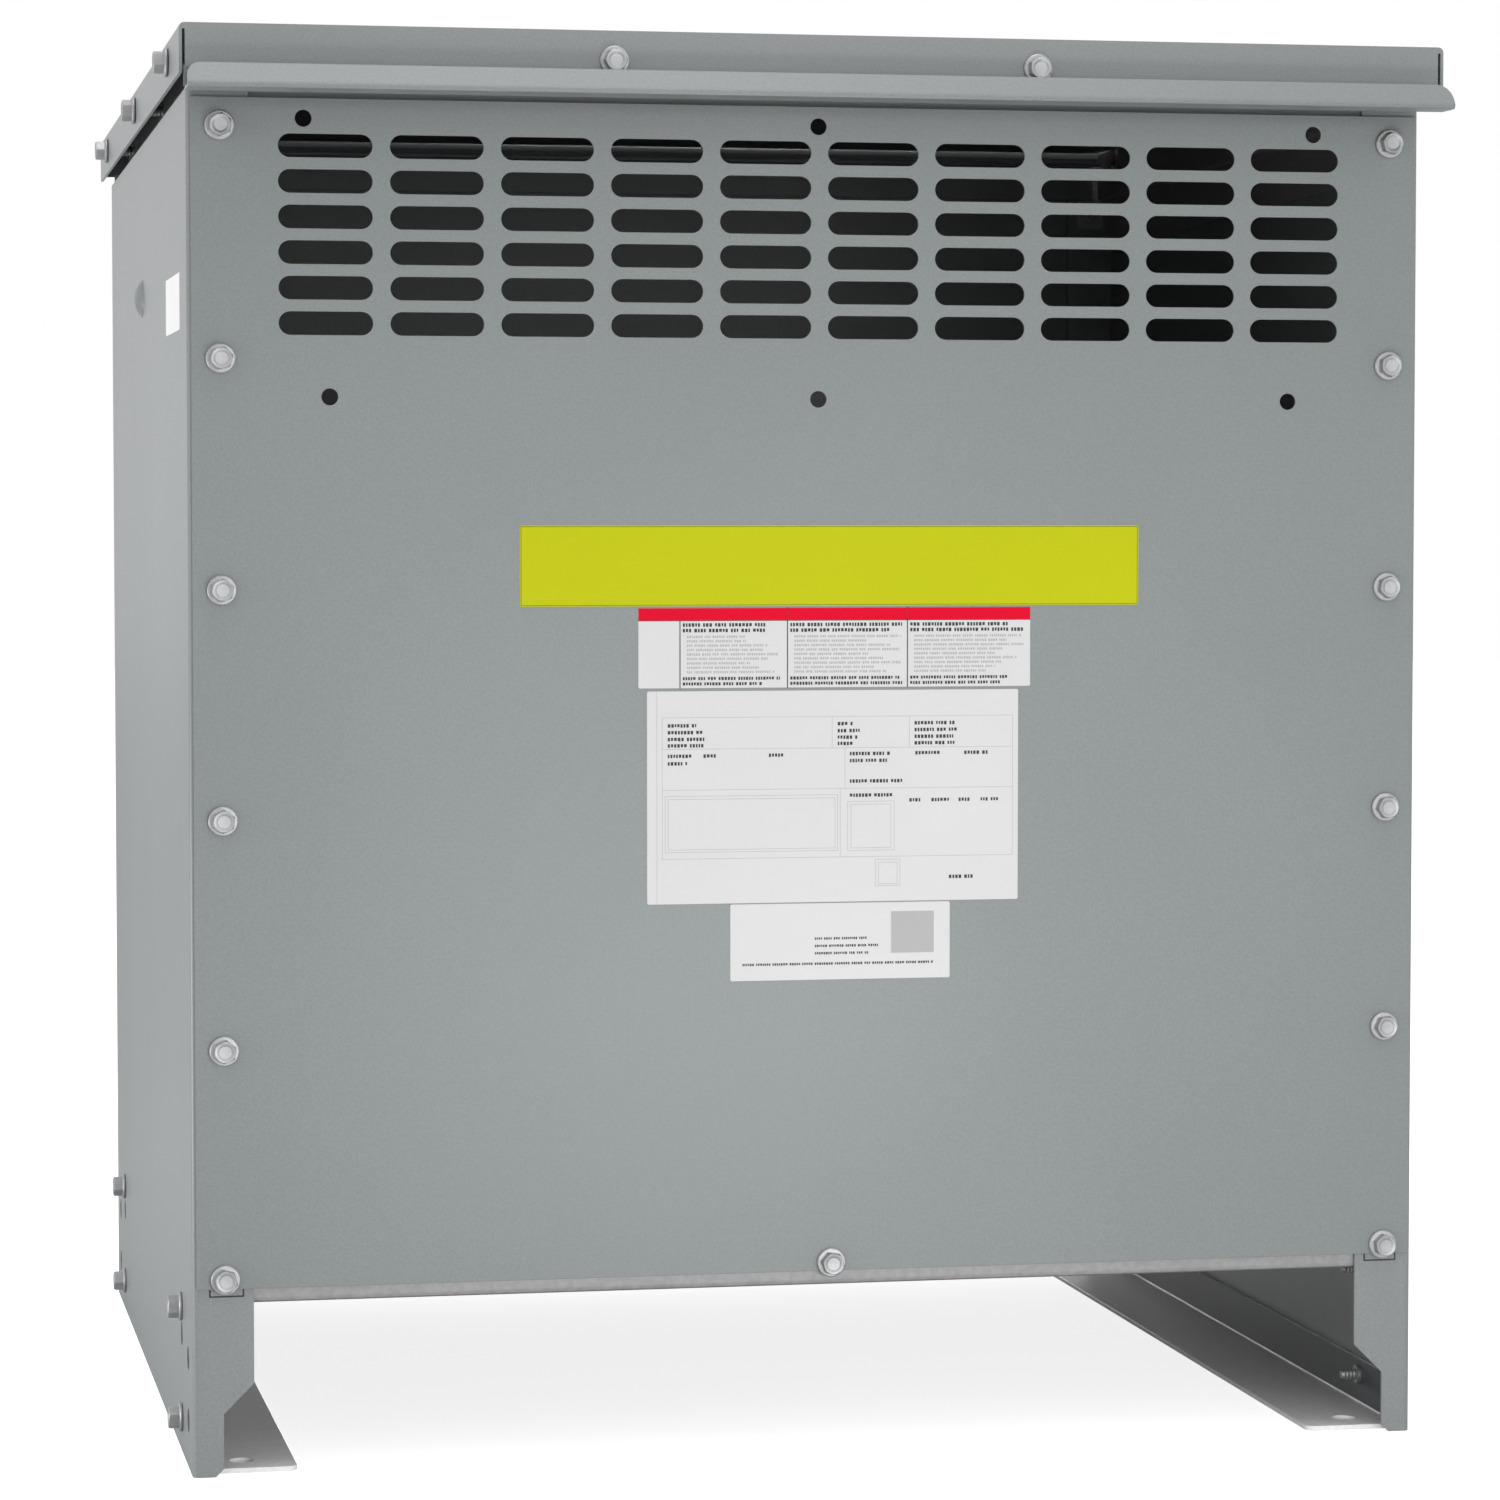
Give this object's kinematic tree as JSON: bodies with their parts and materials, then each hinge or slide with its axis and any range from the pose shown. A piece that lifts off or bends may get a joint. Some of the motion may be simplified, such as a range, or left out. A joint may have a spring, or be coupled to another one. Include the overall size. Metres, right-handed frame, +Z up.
{
  "type": "dry-type distribution transformer",
  "caption": "Floor-standing ventilated dry-type transformer: grey sheet-metal enclosure with slotted front panel, lifting cover and legs, core and coils inside.",
  "frame": {"origin": "bottom centre of the whole object's box, on the floor", "axes": "+X to the right seen from the front, -Y out of the ventilated front panel, +Z up"},
  "size_m": [0.6338, 0.63, 0.69],
  "materials": {
    "enclosure_paint": "grey powder coat, satin, finely textured",
    "zinc_plate": "bright zinc plating",
    "frame_steel": "dark grey paint, satin",
    "core_steel": "laminated electrical steel, varnished edges",
    "coil_varnish": "amber impregnating varnish over wound insulation",
    "coil_paper": "varnished insulation paper",
    "terminal_board": "red-brown glass polyester laminate",
    "bus_aluminium": "plain mill-finish bar",
    "stud_brass": "turned brass",
    "pad_rubber": "black moulded rubber",
    "strap_braid": "woven copper braid"
  },
  "bodies": {
    "frame": {"bus_bar_1": "bus_aluminium", "bus_bar_2": "bus_aluminium", "bus_bar_3": "bus_aluminium", "core_limbs": "core_steel", "core_top_yoke": "core_steel", "front_base_rail": "enclosure_paint", "front_bottom_clamp": "frame_steel", "front_header": "enclosure_paint", "front_left_isolator_pad": "pad_rubber", "front_right_isolator_pad": "pad_rubber", "front_top_clamp": "frame_steel", "ground_bar": "bus_aluminium", "ground_strap": "strap_braid", "high_voltage_winding_1": "coil_varnish", "high_voltage_winding_2": "coil_varnish", "high_voltage_winding_3": "coil_varnish", "left_cover_rail": "enclosure_paint", "left_foot_angle": "enclosure_paint", "left_side_panel": "enclosure_paint", "left_support_channel": "frame_steel", "line_terminal_1": "stud_brass", "line_terminal_2": "stud_brass", "line_terminal_3": "stud_brass", "low_voltage_winding_1": "coil_paper", "low_voltage_winding_2": "coil_paper", "low_voltage_winding_3": "coil_paper", "neutral_bus_bar": "bus_aluminium", "rear_base_rail": "enclosure_paint", "rear_bottom_clamp": "frame_steel", "rear_header": "enclosure_paint", "rear_left_isolator_pad": "pad_rubber", "rear_right_isolator_pad": "pad_rubber", "rear_top_clamp": "frame_steel", "right_cover_rail": "enclosure_paint", "right_foot_angle": "enclosure_paint", "right_side_panel": "enclosure_paint", "right_support_channel": "frame_steel", "terminal_board": "terminal_board"},
    "front_panel": {"front_panel": "enclosure_paint", "front_panel_screw_1": "zinc_plate", "front_panel_screw_2": "zinc_plate", "front_panel_screw_3": "zinc_plate", "front_panel_screw_4": "zinc_plate", "front_panel_screw_5": "zinc_plate", "front_panel_screw_6": "zinc_plate", "front_panel_screw_7": "zinc_plate", "front_panel_screw_8": "zinc_plate", "front_panel_screw_9": "zinc_plate", "front_panel_screw_10": "zinc_plate", "front_panel_screw_11": "zinc_plate", "front_panel_screw_12": "zinc_plate", "front_panel_screw_13": "zinc_plate"},
    "rear_panel": {"rear_panel": "enclosure_paint"},
    "top_cover": {"top_cover": "enclosure_paint", "left_cover_screw_1": "zinc_plate", "left_cover_screw_2": "zinc_plate", "left_cover_screw_3": "zinc_plate", "right_cover_screw_1": "zinc_plate", "right_cover_screw_2": "zinc_plate", "right_cover_screw_3": "zinc_plate"}
  },
  "joints": [
    {"name": "front_panel_slide", "type": "slide", "parent": "frame", "child": "front_panel", "axis": [0, -1, 0], "range_m": [0, 0.35]},
    {"name": "rear_panel_slide", "type": "slide", "parent": "frame", "child": "rear_panel", "axis": [0, 1, 0], "range_m": [0, 0.35]},
    {"name": "top_cover_lift", "type": "slide", "parent": "frame", "child": "top_cover", "axis": [0, 0, 1], "range_m": [0, 0.25]}
  ]
}
